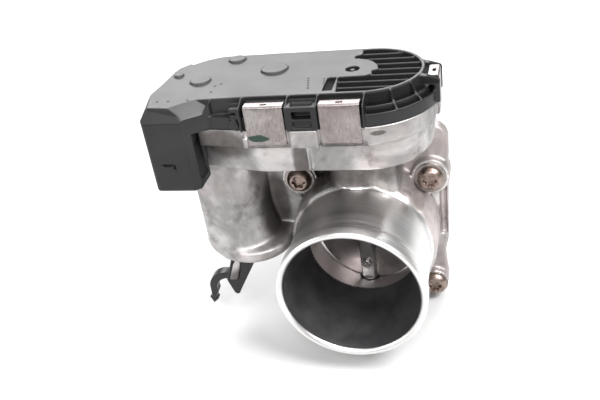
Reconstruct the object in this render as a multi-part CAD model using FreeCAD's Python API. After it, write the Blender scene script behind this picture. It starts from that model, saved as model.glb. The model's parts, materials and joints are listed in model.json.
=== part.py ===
"""Electronic throttle body: cast housing, gear train, motor, clipped plastic gear cover.

Frame: origin on the air-bore axis in the manifold mating face, +Z up along the throttle
shaft towards the gear cover, +Y along the bore towards the manifold. Millimetres.
"""
import FreeCAD, Part
import math
import os
from FreeCAD import Vector

# Air bore and intake spigot
BORE_R = 29.5
MOUTH_R = 34.2
MOUTH_Y = -78.0
TAPER_END_Y = -32.0
LIP_R = 37.5
LIP_END_Y = -69.5
SPIGOT_R = 36.3
BODY_R = 39.0
BODY_START_Y = -35.5

# Manifold flange
FLANGE_T = 8.0
BOSS_FACE_Y = -12.5
BOLT_X = 35.25
BOLT_TOP_Z = 29.6
BOLT_LOW_Z = -39.0
BOLT_R = 3.0
BOLT_HOLE_R = 3.3
BOLT_REACH = 14.0
BOLT_SHANK_R = 2.7
THREAD_START_Y = 0.5
HEAD_R = 6.75
HEAD_HEIGHT = 3.3
SOCKET_R = 2.75
SOCKET_LOBE_R = 0.9
SOCKET_DEPTH = 2.4
SEAL_GROOVE = (31.2, 34.8, 3.0)
WASHER_R = {True: 8.5, False: 7.2}
WASHER_T = 1.2
FLANGE_POCKET_X = (39.4, 43.0)
FLANGE_POCKET_Z = (-9.0, 24.0)

# Throttle shaft and plate
SHAFT_Y = -19.5
SHAFT_R = 5.0
SHAFT_BOTTOM_Z = -46.0
SHAFT_TOP_Z = 80.5
PLATE_R = 29.3
PLATE_T = 2.5
PLATE_OPEN_DEG = 12.0
PLATE_SCREW_Z = 18.5
SHAFT_FLAT = 3.9
SHAFT_CLEAR_R = 5.7
BEARING_R = 8.0
UPPER_SEAT_Z = (33.4, 51.0)
LOWER_SEAT_Z = (-51.0, -33.0)
UPPER_BOSS_R = 15.8
LOWER_BOSS_R = 11.8
SPRING_WELL_R = (10.2, 13.3)
SPRING_WELL_Z = (45.0, 50.0)
RUNNING_GAP = 0.03
SHUT_TURN = 8.0
OPEN_TURN = -74.0

# Gear case levels
CASE_BOTTOM_Z = 54.9
CASE_FLOOR_Z = 62.0
CASE_STEP_Z = 70.3
JOINT_Z = 79.6
COVER_FLANGE_Z = 85.8
COVER_TOP_Z = 94.0
PARTING = 0.2

# Gear case plan: one round end beyond the shaft, one beyond the motor
CASE_X = 8.6
CASE_Y = -20.0
KNEE_X = -42.6
LEFT_X = -64.4
MOTOR_X = -71.5
MOTOR_Y = -21.0
MOTOR_HOUSING_R = 19.4
MOTOR_BOTTOM_Z = -6.9
MOTOR_BORE_R = 16.5
FOOT_X = -64.0
FOOT_R = 23.8
FOOT_TOP_Z = 1.3
FOOT_BLEND_Z = 18.0

# Gear train
PRESSURE_ANGLE = math.radians(20.0)
STAGE_1 = {"module": 1.0, "pinion": 22, "wheel": 52}
STAGE_2 = {"module": 1.25, "pinion": 15, "wheel": 40}
CENTRE_GAP = 0.10
FLANK_GAP = 0.07
PIN_R = 3.0

# Spring clips that hold the cover down
CLIP_LENGTH = 19.0
CLIP_T = 0.8
CLIP_TOP_Z = 92.0
CLIP_BOTTOM_Z = 72.0
CLIP_PLANE = 35.2
END_CLIP_PLANE = 34.2
CLIP_X = (-35.6, 0.0)
END_CLIP_LENGTH = 12.8
END_GUARD_OUT = 0.4
END_GUARD_T = 3.4

# Electrical connector shell, moulded with the cover
CONN_X = (-96.1, -72.3)
CONN_Y = (-59.7, -43.4)
CONN_BOTTOM_Z = 50.0
CONN_WALL = 2.6
CONN_BEVEL_Z = 86.9
CONN_BEVEL_IN = 4.2
CONN_CHAMFER = 3.0
PAD_HEIGHT = 1.3

X = Vector(1, 0, 0)
Y = Vector(0, 1, 0)
Z = Vector(0, 0, 1)


def box(x0, x1, y0, y1, z0, z1):
    return Part.makeBox(x1 - x0, y1 - y0, z1 - z0, Vector(x0, y0, z0))


def post(x, y, radius, z0, z1):
    """Upright cylinder."""
    return Part.makeCylinder(radius, z1 - z0, Vector(x, y, z0), Z)


def drum(x, z, radius, y0, y1):
    """Cylinder along the air bore."""
    return Part.makeCylinder(radius, y1 - y0, Vector(x, y0, z), Y)


def ring(x, y, inner, outer, z0, z1):
    return post(x, y, outer, z0, z1).cut(post(x, y, inner, z0 - 1, z1 + 1))


def join(shapes):
    whole = shapes[0].multiFuse(shapes[1:])
    return whole.removeSplitter()


def path(start, steps):
    """Closed wire in one plane from lines (end point) and arcs (middle and end points)."""
    edges = []
    here = start
    for step in steps:
        if isinstance(step, tuple):
            edges.append(Part.Arc(here, step[0], step[1]).toShape())
            here = step[1]
        else:
            edges.append(Part.makeLine(here, step))
            here = step
    if here.distanceToPoint(start) > 1e-6:
        edges.append(Part.makeLine(here, start))
    return Part.Wire(edges)


def prism(wire, direction):
    return Part.Face(wire).extrude(direction)


def polygon(points):
    return Part.makePolygon(points + [points[0]])


def turned(profile, centre, axis):
    """Solid of revolution of a closed outline."""
    return Part.Face(polygon(profile)).revolve(centre, axis, 360)


def rounded(shape, radius, wanted):
    edges = [edge for edge in shape.Edges if wanted(edge)]
    return shape.makeFillet(radius, edges)


def upright(edge):
    box_of = edge.BoundBox
    return box_of.XLength < 1e-6 and box_of.YLength < 1e-6


def case_wire(right, left, z, left_x=LEFT_X):
    """Plan of the gear case: a round end at the shaft, a knee, and a round end at the motor."""
    lean = math.radians(103.0)
    cx, cy = left * math.cos(lean), left * math.sin(lean)
    return path(
        Vector(CASE_X, CASE_Y - right, z),
        [
            (Vector(CASE_X + right, CASE_Y, z), Vector(CASE_X, CASE_Y + right, z)),
            Vector(KNEE_X, CASE_Y + right, z),
            Vector(left_x + cx, MOTOR_Y + cy, z),
            (Vector(left_x - left, MOTOR_Y, z), Vector(left_x + cx, MOTOR_Y - cy, z)),
            Vector(KNEE_X, CASE_Y - right, z),
        ],
    )


def case_slab(right, left, z0, z1, left_x=LEFT_X):
    return prism(case_wire(right, left, z0, left_x), Vector(0, 0, z1 - z0))


def connector_notch(grow, z0, z1):
    """Corner of the case plan that is given up to the connector shell."""
    return box(CONN_X[0] - 15, CONN_X[1] + 0.6 + grow, CONN_Y[0] - 15, CONN_Y[1] + 0.4 + grow, z0, z1)


def notched_slab(right, left, grow, z0, z1, left_x=LEFT_X):
    return case_slab(right, left, z0, z1, left_x).cut(connector_notch(grow, z0 - 1, z1 + 1))


def tooth_half_angle(module, teeth, radius):
    pitch = module * teeth / 2
    base = pitch * math.cos(PRESSURE_ANGLE)

    def inv(angle):
        return math.tan(angle) - angle

    at = math.acos(base / max(radius, base))
    half = math.pi / (2 * teeth) - FLANK_GAP / pitch
    return half + inv(PRESSURE_ANGLE) - inv(at)


def gear_slab(module, teeth, centre, phase, z0, z1):
    """Involute spur gear as a solid disc."""
    pitch = module * teeth / 2
    base = pitch * math.cos(PRESSURE_ANGLE)
    radii = [pitch - 1.25 * module, max(base, pitch - 1.1 * module), pitch, pitch + 0.5 * module,
             pitch + 0.9 * module]
    points = []
    for index in range(teeth):
        middle = phase + 2 * math.pi * index / teeth
        flanks = [(radius, -tooth_half_angle(module, teeth, radius)) for radius in radii]
        flanks += [(radius, tooth_half_angle(module, teeth, radius)) for radius in reversed(radii)]
        for radius, angle in flanks:
            points.append(Vector(centre[0] + radius * math.cos(middle + angle),
                                 centre[1] + radius * math.sin(middle + angle), z0))
    return prism(polygon(points), Vector(0, 0, z1 - z0))


def gear_radii():
    first = STAGE_1["module"] * (STAGE_1["pinion"] + STAGE_1["wheel"]) / 2 + CENTRE_GAP
    second = STAGE_2["module"] * (STAGE_2["pinion"] + STAGE_2["wheel"]) / 2 + CENTRE_GAP
    return first, second


def idler_centre():
    """The idler stands at one gear distance from the motor and one from the shaft."""
    first, second = gear_radii()
    dx, dy = MOTOR_X, MOTOR_Y - SHAFT_Y
    span = math.hypot(dx, dy)
    along = (second ** 2 - first ** 2 + span ** 2) / (2 * span)
    aside = -math.sqrt(second ** 2 - along ** 2)
    ux, uy = dx / span, dy / span
    return ux * along - uy * aside, SHAFT_Y + uy * along + ux * aside


IDLER = idler_centre()
TO_IDLER = math.atan2(IDLER[1] - SHAFT_Y, IDLER[0])
TO_MOTOR = math.atan2(MOTOR_Y - IDLER[1], MOTOR_X - IDLER[0])


def opened(shape):
    """Turns a piece modelled with the plate square across the bore to its resting angle."""
    turned_shape = shape.copy()
    turned_shape.rotate(Vector(0, SHAFT_Y, 0), Z, -PLATE_OPEN_DEG)
    return turned_shape


# ---------------------------------------------------------------- housing casting

def spigot_and_body():
    profile = [
        Vector(0, MOUTH_Y, 0),
        Vector(LIP_R - 0.8, MOUTH_Y, 0),
        Vector(LIP_R, MOUTH_Y + 0.8, 0),
        Vector(LIP_R, LIP_END_Y, 0),
        Vector(SPIGOT_R, LIP_END_Y + 1.4, 0),
        Vector(SPIGOT_R, BODY_START_Y, 0),
        Vector(SPIGOT_R + 0.5, BODY_START_Y + 1.2, 0),
        Vector(BODY_R - 0.6, BODY_START_Y + 2.6, 0),
        Vector(BODY_R, BODY_START_Y + 4.0, 0),
        Vector(BODY_R, 0, 0),
        Vector(0, 0, 0),
    ]
    return turned(profile, Vector(0, 0, 0), Y)


def air_bore():
    taper = Part.makeCone(MOUTH_R, BORE_R, TAPER_END_Y - MOUTH_Y, Vector(0, MOUTH_Y, 0), Y)
    lead = Part.makeCone(MOUTH_R + 1.2, MOUTH_R, 1.2, Vector(0, MOUTH_Y - 0.01, 0), Y)
    bore = drum(0, 0, BORE_R, TAPER_END_Y - 0.01, 1)
    return taper.fuse(lead).fuse(bore)


def flange_plate():
    y = -FLANGE_T
    wire = path(
        Vector(-29.5, y, -44.6),
        [
            Vector(29.5, y, -44.6),
            (Vector(38.9, y, -45.4), Vector(42.6, y, -39.0)),
            Vector(41.2, y, -22.0),
            Vector(43.4, y, -12.0),
            Vector(44.6, y, 46.5),
            (Vector(42.2, y, 54.3), Vector(35.5, y, 57.6)),
            Vector(-35.5, y, 57.6),
            (Vector(-42.2, y, 54.3), Vector(-44.6, y, 46.5)),
            Vector(-43.4, y, -12.0),
            Vector(-41.2, y, -22.0),
            Vector(-42.6, y, -39.0),
            (Vector(-38.9, y, -45.4), Vector(-29.5, y, -44.6)),
        ],
    )
    plate = prism(wire, Vector(0, FLANGE_T, 0))
    bosses = []
    for side in (-1, 1):
        bosses.append(drum(side * BOLT_X, BOLT_TOP_Z, 10.2, BOSS_FACE_Y, 0))
        bosses.append(drum(side * BOLT_X, BOLT_LOW_Z, 7.4, BOSS_FACE_Y, 0))
    return [plate] + bosses


def motor_housing():
    """Tapered cylinder round the motor, flaring into a wider drum at its foot."""
    height = CASE_BOTTOM_Z + 1 - MOTOR_BOTTOM_Z
    body = Part.makeCone(MOTOR_HOUSING_R - 0.5, MOTOR_HOUSING_R + 0.2, height,
                         Vector(MOTOR_X, MOTOR_Y, MOTOR_BOTTOM_Z), Z)
    foot = post(FOOT_X, MOTOR_Y, FOOT_R, MOTOR_BOTTOM_Z, FOOT_TOP_Z)

    blend = Part.makeCone(MOTOR_HOUSING_R + 1.8, MOTOR_HOUSING_R - 1.9, FOOT_BLEND_Z,
                          Vector(MOTOR_X + 1.8, MOTOR_Y, 0), Z)

    def at_bottom(edge):
        return edge.BoundBox.ZMax < MOTOR_BOTTOM_Z + 0.1

    return [rounded(body, 5.0, at_bottom), rounded(foot, 5.0, at_bottom), blend]


def housing_webs():
    """Walls between the motor housing, the bore and the gear case."""
    neck = box(7.8, 20.6, -33.6, -6.0, 24.0, CASE_BOTTOM_Z + 1)
    return [
        box(-62.0, -36.0, -12.0, -3.0, MOTOR_BOTTOM_Z + 4.0, CASE_BOTTOM_Z + 1),
        post(0, SHAFT_Y, UPPER_BOSS_R, 20.0, CASE_BOTTOM_Z + 1),
        rounded(neck, 4.0, lambda edge: upright(edge) and edge.BoundBox.YMax < -33.0),
        post(0, SHAFT_Y, LOWER_BOSS_R, -50.0, -20.0),
    ]


def gear_tray():
    lower = Part.makeLoft([case_wire(29.9, 21.5, CASE_BOTTOM_Z, MOTOR_X),
                           case_wire(31.9, 23.6, CASE_STEP_Z, MOTOR_X)], True, True)
    flange = case_slab(34.0, 30.2, CASE_STEP_Z, JOINT_Z)
    return [lower, flange]


def tray_pads():
    """Flats behind the clips, a stop beside one of them, the block under the latch and its rib."""
    flat = CLIP_PLANE - CLIP_T
    ledge = CLIP_BOTTOM_Z + CLIP_T
    pads = [
        box(-46.6, -24.6, CASE_Y - flat, -51.0, ledge, JOINT_Z),
        box(-10.6, 11.0, CASE_Y - flat, -51.0, ledge, JOINT_Z),
        box(-47.7, -45.3, -55.8, -51.0, 70.9, 76.4),
        box(-24.2, -11.0, -56.0, -51.0, 70.6, JOINT_Z),
        box(-18.4, -17.0, -53.0, -48.0, 56.9, 71.4),
        box(CASE_X + 27.0, CASE_X + END_CLIP_PLANE - CLIP_T, CASE_Y - END_CLIP_LENGTH / 2 - 1,
            CASE_Y + END_CLIP_LENGTH / 2 + 1, ledge, JOINT_Z),
    ]
    return pads


def clip_slots():
    """Undercuts that the lower edges of the clips hook into."""
    ledge = CLIP_BOTTOM_Z + CLIP_T
    return [
        box(-47.0, -24.4, -57.0, -50.6, 69.0, ledge),
        box(-10.8, 11.4, -57.0, -50.6, 69.0, ledge),
        box(CASE_X + 30.1, CASE_X + 37.0, -31.0, -9.0, 69.0, ledge),
    ]


def case_cavity(z0, z1):
    return notched_slab(28.8, 20.7, 4.0, z0, z1, MOTOR_X)


def end_clip_flat():
    """Flat that the clip at the free end lies against."""
    inner = CASE_X + END_CLIP_PLANE - CLIP_T
    half = END_CLIP_LENGTH / 2 + 0.2
    return box(inner - 0.05, inner + 4, CASE_Y - half, CASE_Y + half, CLIP_BOTTOM_Z - 3, CLIP_TOP_Z + 1)


def throttle_housing():
    cast = [spigot_and_body()]
    cast += motor_housing()
    cast += flange_plate()
    cast += housing_webs()
    cast += gear_tray()
    body = join(cast)
    body = body.cut(Part.makeCompound(clip_slots()))
    body = join([body] + tray_pads() + [harness_lug()])

    groove = notched_slab(32.6, 28.8, 1.1, JOINT_Z - 1.6, JOINT_Z + 1)
    groove = groove.cut(notched_slab(30.8, 27.0, 2.9, JOINT_Z - 2, JOINT_Z + 2))
    inner, outer, depth = SEAL_GROOVE
    cuts = [
        air_bore(),
        post(MOTOR_X, MOTOR_Y, MOTOR_BORE_R, MOTOR_BOTTOM_Z + 3.2, JOINT_Z),
        case_cavity(CASE_FLOOR_Z, JOINT_Z + 1),
        ring(0, SHAFT_Y, *SPRING_WELL_R, SPRING_WELL_Z[0], CASE_FLOOR_Z + 1),
        post(0, SHAFT_Y, SPRING_WELL_R[1], SPRING_WELL_Z[1], CASE_FLOOR_Z + 1),
        post(0, SHAFT_Y, BEARING_R, *UPPER_SEAT_Z),
        post(0, SHAFT_Y, BEARING_R, *LOWER_SEAT_Z),
        post(0, SHAFT_Y, SHAFT_CLEAR_R, LOWER_SEAT_Z[1] - 1, UPPER_SEAT_Z[0] + 1),
        post(IDLER[0], IDLER[1], PIN_R, 57.0, CASE_FLOOR_Z + 1),
        groove,
        drum(0, 0, outer, -depth, 1).cut(drum(0, 0, inner, -5, 2)),
        connector_notch(0, 45.0, JOINT_Z + 1),
        end_clip_flat(),
        box(-22.8, -18.6, -53.0, -50.3, CASE_BOTTOM_Z - 1, CASE_STEP_Z + 0.2),
        box(*FLANGE_POCKET_X, -FLANGE_T - 1, -5.0, *FLANGE_POCKET_Z),
    ]
    for x in (-BOLT_X, BOLT_X):
        for z in (BOLT_TOP_Z, BOLT_LOW_Z):
            cuts.append(drum(x, z, BOLT_HOLE_R, BOSS_FACE_Y - 1, 1))
            cuts.append(drum(x, z, WASHER_R[z > 0] + 0.3, BODY_START_Y - 1, BOSS_FACE_Y))
    for x, y in motor_screw_places():
        cuts.append(post(x, y, 1.25, 55.8, CASE_FLOOR_Z + 1))
    for tool in cuts:
        body = body.cut(tool)
    return join([body] + stop_posts())


def stop_posts():
    """Cast stops that end the sector gear's travel, one for shut and one for fully open."""
    posts = []
    for degrees in (SECTOR_STOP_SHUT, SECTOR_STOP_OPEN):
        angle = math.radians(degrees)
        posts.append(post(20.0 * math.cos(angle), SHAFT_Y + 20.0 * math.sin(angle), 2.6,
                          CASE_FLOOR_Z - 0.5, 77.0))
    return posts


def harness_lug(grow=0.0):
    """Slanted cast tongue that carries the harness clip."""
    y0, depth = -36.4, 5.0
    outline = polygon([
        Vector(-71.6 - grow, y0 - grow, -3.0),
        Vector(-67.8 + grow, y0 - grow, -3.0),
        Vector(-73.9 + grow, y0 - grow, -23.0 - grow),
        Vector(-79.2 - grow, y0 - grow, -23.0 - grow),
    ])
    return prism(outline, Vector(0, depth + 2 * grow, 0))


def motor_screw_places():
    return [(-63.9, -39.6), (-63.9, -2.4)]


# ---------------------------------------------------------------- flange hardware

def bolt_places():
    return [(x, z) for x in (-BOLT_X, BOLT_X) for z in (BOLT_TOP_Z, BOLT_LOW_Z)]


def flange_washers():
    washers = []
    for x, z in bolt_places():
        washers.append(drum(x, z, WASHER_R[z > 0], BOSS_FACE_Y - WASHER_T, BOSS_FACE_Y).cut(
            drum(x, z, 3.15, BOSS_FACE_Y - 3, BOSS_FACE_Y + 1)))
    return Part.makeCompound(washers)


def lobed_socket(x, z, y0, y1):
    """Six-lobe driving recess: a round core with six round lobes."""
    tool = drum(x, z, SOCKET_R, y0, y1)
    for index in range(6):
        angle = math.radians(60 * index)
        tool = tool.fuse(drum(x + SOCKET_R * math.cos(angle), z + SOCKET_R * math.sin(angle),
                              SOCKET_LOBE_R, y0, y1))
    return tool


def flange_screws():
    """Six-lobe screws with a flanged head, a shank thinner than the thread, and a pointed tip."""
    screws = []
    head_y = BOSS_FACE_Y - WASHER_T
    top_y = head_y - HEAD_HEIGHT
    for x, z in bolt_places():
        profile = [
            Vector(x, head_y, z),
            Vector(x + HEAD_R, head_y, z),
            Vector(x + HEAD_R, head_y - 1.1, z),
            Vector(x + HEAD_R - 1.15, head_y - 2.6, z),
            Vector(x + HEAD_R - 2.0, top_y, z),
            Vector(x, top_y, z),
        ]
        head = turned(profile, Vector(x, 0, z), Y)
        shank = drum(x, z, BOLT_SHANK_R, head_y, THREAD_START_Y)
        thread = drum(x, z, BOLT_R, THREAD_START_Y, BOLT_REACH - 1.0)
        tip = Part.makeCone(BOLT_R, 2.2, 1.0, Vector(x, BOLT_REACH - 1.0, z), Y)
        socket = lobed_socket(x, z, top_y - 1, top_y + SOCKET_DEPTH)
        screws.append(join([head, shank, thread, tip]).cut(socket))
    return Part.makeCompound(screws)


def manifold_seal():
    inner, outer, depth = SEAL_GROOVE
    profile = [
        Vector(inner + 0.3, -depth, 0),
        Vector(outer - 0.3, -depth, 0),
        Vector(outer - 0.3, -0.7, 0),
        Vector(outer - 0.9, 0, 0),
        Vector(inner + 0.9, 0, 0),
        Vector(inner + 0.3, -0.7, 0),
    ]
    return turned(profile, Vector(0, 0, 0), Y)


def harness_clip():
    """Moulded clip on the tongue under the motor: tapered shoe, hook arm and square end."""
    y0, y1 = -35.2, -27.6
    shoe = prism(path(
        Vector(-75.4, y0, -8.0),
        [
            Vector(-60.6, y0, -8.0),
            Vector(-74.4, y0, -32.0),
            (Vector(-76.1, y0, -33.7), Vector(-78.0, y0, -32.3)),
            Vector(-81.0, y0, -23.8),
        ],
    ), Vector(0, y1 - y0, 0))
    hook = prism(path(
        Vector(-79.4, -34.4, -20.0),
        [
            (Vector(-88.8, -34.4, -21.8), Vector(-92.8, -34.4, -30.4)),
            Vector(-92.9, -34.4, -37.0),
            Vector(-90.4, -34.4, -37.0),
            Vector(-88.8, -34.4, -33.6),
            (Vector(-86.2, -34.4, -25.6), Vector(-79.4, -34.4, -23.4)),
        ],
    ), Vector(0, 6.6, 0))
    end = prism(polygon([
        Vector(-94.9, -33.4, -37.8),
        Vector(-91.6, -33.4, -34.9),
        Vector(-89.8, -33.4, -39.4),
        Vector(-93.0, -33.4, -42.3),
    ]), Vector(0, 4.2, 0))
    return join([shoe, hook, end]).cut(harness_lug(0.1))


# ---------------------------------------------------------------- shaft group

def shaft_blank():
    blank = post(0, SHAFT_Y, SHAFT_R, SHAFT_BOTTOM_Z, SHAFT_TOP_Z)
    slot = box(-10, 10, SHAFT_Y - PLATE_T / 2, SHAFT_Y + PLATE_T / 2, -PLATE_R - 0.2, PLATE_R + 0.2)
    flat = box(-10, 10, SHAFT_Y - 10, SHAFT_Y - SHAFT_FLAT, -PLATE_R + 1, PLATE_R - 1)
    return blank.cut(slot).cut(flat)


def plate_screw_holes():
    return [drum(0, z, 1.5, SHAFT_Y - 6, SHAFT_Y + 6) for z in (-PLATE_SCREW_Z, PLATE_SCREW_Z)]


def throttle_shaft():
    return opened(shaft_blank().cut(Part.makeCompound(plate_screw_holes())))


def throttle_plate():
    y0, y1 = SHAFT_Y - PLATE_T / 2, SHAFT_Y + PLATE_T / 2
    edge = 0.5
    disc = turned([
        Vector(0, y0, 0),
        Vector(PLATE_R - edge, y0, 0),
        Vector(PLATE_R, y0 + edge, 0),
        Vector(PLATE_R, y1 - edge, 0),
        Vector(PLATE_R - edge, y1, 0),
        Vector(0, y1, 0),
    ], Vector(0, 0, 0), Y)
    return opened(disc.cut(Part.makeCompound(plate_screw_holes())))


def plate_screws():
    screws = []
    head_y = SHAFT_Y - SHAFT_FLAT
    for z in (-PLATE_SCREW_Z, PLATE_SCREW_Z):
        head = rounded(drum(0, z, 2.9, head_y - 1.9, head_y), 0.7,
                       lambda edge: edge.BoundBox.YMax < head_y - 1.8)
        shank = drum(0, z, 1.5, head_y, SHAFT_Y + 4.5)
        recess = box(-1.9, 1.9, head_y - 3, head_y - 0.9, z - 0.35, z + 0.35)
        recess = recess.fuse(box(-0.35, 0.35, head_y - 3, head_y - 0.9, z - 1.9, z + 1.9))
        screws.append(join([head, shank]).cut(recess))
    return opened(Part.makeCompound(screws))


def bearing(z0, z1):
    return ring(0, SHAFT_Y, SHAFT_R + RUNNING_GAP, BEARING_R, z0, z1)


def shaft_end_plug():
    return post(0, SHAFT_Y, BEARING_R, -50.0, -48.2)


def spring_lever():
    """Stamped lever pressed on the shaft; the return spring's free leg bears on its tab."""
    hub = post(0, SHAFT_Y, 8.4, 61.4, 64.0)
    arm = box(0, 12.6, SHAFT_Y - 3.0, SHAFT_Y + 3.0, 61.4, 64.0)
    tab = box(10.8, 12.6, SHAFT_Y - 3.0, SHAFT_Y + 3.0, 59.4, 64.0)
    return join([hub, arm, tab]).cut(post(0, SHAFT_Y, SHAFT_R, 55, 70))


def return_spring():
    """Torsion coil round the upper bearing boss."""
    wire_r, coil_r, pitch, turns = 0.75, 11.75, 2.1, 5.5
    z0 = 46.2
    helix = Part.makeHelix(pitch, pitch * turns, coil_r)
    section = Part.Wire([Part.makeCircle(wire_r, Vector(coil_r, 0, 0), Y)])
    coil = Part.Wire(helix.Edges).makePipeShell([section], True, True)
    coil.translate(Vector(0, SHAFT_Y, z0))
    return coil


# ---------------------------------------------------------------- gears

SECTOR_FROM = math.degrees(TO_IDLER) % 360 - 8.0 - SHUT_TURN
SECTOR_TO = SECTOR_FROM + 16.0 + SHUT_TURN - OPEN_TURN
SECTOR_STOP_SHUT = SECTOR_TO + SHUT_TURN + 8.6
SECTOR_STOP_OPEN = SECTOR_FROM + OPEN_TURN - 8.6


def sector_gear():
    module, teeth = STAGE_2["module"], STAGE_2["wheel"]
    rim = gear_slab(module, teeth, (0.0, SHAFT_Y), TO_IDLER, 72.4, 77.4)
    reach = 60.0
    keep_points = [Vector(0, SHAFT_Y, 72.0)]
    for index in range(5):
        angle = math.radians(SECTOR_FROM + (SECTOR_TO - SECTOR_FROM) * index / 4)
        keep_points.append(Vector(reach * math.cos(angle), SHAFT_Y + reach * math.sin(angle), 72.0))
    keep = prism(polygon(keep_points), Vector(0, 0, 8))
    hub = post(0, SHAFT_Y, 9.8, 71.6, 80.5)
    shape = join([rim.common(keep), hub])
    for offset in (20, 49, 78):
        angle = math.radians(SECTOR_FROM + offset)
        shape = shape.cut(post(16.0 * math.cos(angle), SHAFT_Y + 16.0 * math.sin(angle), 3.0, 71, 79))
    return shape.cut(post(0, SHAFT_Y, SHAFT_R, 65, 90))


def sensor_magnet():
    return ring(0, SHAFT_Y, 5.6, 9.2, 80.5, 83.6)


def idler_gear():
    """Wheel driven by the motor, with the small pinion that drives the sector on top of it."""
    wheel = gear_slab(STAGE_1["module"], STAGE_1["wheel"], IDLER, TO_MOTOR, 65.0, 70.5)
    half_pitch = math.pi / STAGE_2["pinion"]
    pinion = gear_slab(STAGE_2["module"], STAGE_2["pinion"], IDLER,
                       TO_IDLER + math.pi + half_pitch, 70.5, 78.4)
    recess = ring(IDLER[0], IDLER[1], 8.0, 21.5, 64.0, 66.6)
    hub = post(IDLER[0], IDLER[1], 6.0, 62.6, 65.5)
    shape = join([wheel.cut(recess), pinion, hub])
    for index in range(6):
        angle = TO_MOTOR + math.radians(30 + 60 * index)
        shape = shape.cut(post(IDLER[0] + 16.4 * math.cos(angle), IDLER[1] + 16.4 * math.sin(angle),
                               3.6, 63, 72))
    return shape.cut(post(IDLER[0], IDLER[1], PIN_R + RUNNING_GAP, 55, 85))


def idler_pin():
    pin = post(IDLER[0], IDLER[1], PIN_R, 57.0, 80.4)
    return rounded(pin, 0.6, lambda edge: edge.BoundBox.ZMin > 80.3)


def motor_pinion():
    half_pitch = math.pi / STAGE_1["pinion"]
    shape = gear_slab(STAGE_1["module"], STAGE_1["pinion"], (MOTOR_X, MOTOR_Y),
                      TO_MOTOR + math.pi + half_pitch, 64.8, 71.8)
    for index in range(4):
        angle = math.radians(45 + 90 * index)
        shape = shape.cut(post(MOTOR_X + 6.0 * math.cos(angle), MOTOR_Y + 6.0 * math.sin(angle), 1.8,
                               68.0, 73.0))
    return shape.cut(post(MOTOR_X, MOTOR_Y, 1.6, 55, 75))


# ---------------------------------------------------------------- motor

def motor_can():
    outer = rounded(post(MOTOR_X, MOTOR_Y, 16.2, -2.0, 58.5), 2.5, lambda edge: edge.BoundBox.ZMax < -1.9)
    inner = rounded(post(MOTOR_X, MOTOR_Y, 15.0, -0.8, 59.0), 1.5, lambda edge: edge.BoundBox.ZMax < -0.7)
    cup = post(MOTOR_X, MOTOR_Y, 5.2, -2.8, 3.0)
    return join([outer.cut(inner), cup]).cut(post(MOTOR_X, MOTOR_Y, 3.8, -1.6, 4.0))


def motor_lower_bush():
    return ring(MOTOR_X, MOTOR_Y, 1.6 + RUNNING_GAP, 3.8, -1.0, 3.0)


def motor_upper_bush():
    return ring(MOTOR_X, MOTOR_Y, 1.6 + RUNNING_GAP, 3.8, 59.2, 64.0)


def motor_shaft():
    return post(MOTOR_X, MOTOR_Y, 1.6, -0.8, 73.0)


def motor_armature():
    """Laminated core with its slots and the ends of the windings."""
    core = post(MOTOR_X, MOTOR_Y, 10.2, 11.0, 41.0)
    for index in range(5):
        slot = box(6.4, 12.0, -1.0, 1.0, 10.0, 42.0)
        slot.rotate(Vector(0, 0, 0), Z, 72 * index)
        slot.translate(Vector(MOTOR_X, MOTOR_Y, 0))
        core = core.cut(slot)
    windings = [post(MOTOR_X, MOTOR_Y, 8.8, 7.5, 11.0), post(MOTOR_X, MOTOR_Y, 8.8, 41.0, 45.0)]
    return join([core] + windings).cut(post(MOTOR_X, MOTOR_Y, 1.6, -5, 75))


def motor_commutator():
    return ring(MOTOR_X, MOTOR_Y, 1.6, 4.8, 46.0, 55.0)


def motor_magnets():
    shells = []
    for side in (-1, 1):
        shell = ring(MOTOR_X, MOTOR_Y, 10.9, 15.0, 9.0, 43.0)
        keep = box(MOTOR_X - 9, MOTOR_X + 9, *sorted((MOTOR_Y, MOTOR_Y + side * 20)), 8, 44)
        shells.append(shell.common(keep))
    return Part.makeCompound(shells)


def motor_brushes():
    brushes = []
    for side in (-1, 1):
        start, end = sorted((MOTOR_X + side * 5.1, MOTOR_X + side * 10.0))
        brushes.append(box(start, end, MOTOR_Y - 2.0, MOTOR_Y + 2.0, 48.0, 53.0))
    return Part.makeCompound(brushes)


def brush_carrier():
    return ring(MOTOR_X, MOTOR_Y, 10.2, 14.9, 46.0, 57.0)


def motor_end_plate():
    """Plug of the can and the eared plate that is screwed to the case floor."""
    disc = post(MOTOR_X, MOTOR_Y, 16.3, 58.6, CASE_FLOOR_Z)
    plate = post(MOTOR_X, MOTOR_Y, 17.4, CASE_FLOOR_Z, 64.0)
    ears = [motor_ear(x, y) for x, y in motor_screw_places()]
    shape = join([disc, plate] + ears).cut(post(MOTOR_X, MOTOR_Y, 3.8, 55, 65))
    for x, y in motor_screw_places():
        shape = shape.cut(post(x, y, 1.45, 55, 65))
    for blade in blade_boxes():
        shape = shape.cut(blade)
    return shape


def motor_ear(x, y):
    """Round ear with an arm that reaches back to the plate."""
    towards = 1 if y < MOTOR_Y else -1
    y0, y1 = sorted((y, y + towards * 8.0))
    arm = box(x - 3.4, x + 3.4, y0, y1, CASE_FLOOR_Z, 64.0)
    return join([post(x, y, 3.4, CASE_FLOOR_Z, 64.0), arm])


def motor_screws():
    screws = []
    for x, y in motor_screw_places():
        head = rounded(post(x, y, 2.6, 64.0, 66.2), 0.6, lambda edge: edge.BoundBox.ZMin > 66.1)
        screws.append(join([head, post(x, y, 1.25, 56.0, 64.0)]))
    return Part.makeCompound(screws)


def blade_boxes():
    return [box(-86.0, -84.6, y - 1.5, y + 1.5, 59.0, 77.5) for y in (-27.0, -15.0)]


def motor_terminals():
    return Part.makeCompound(blade_boxes())


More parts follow.
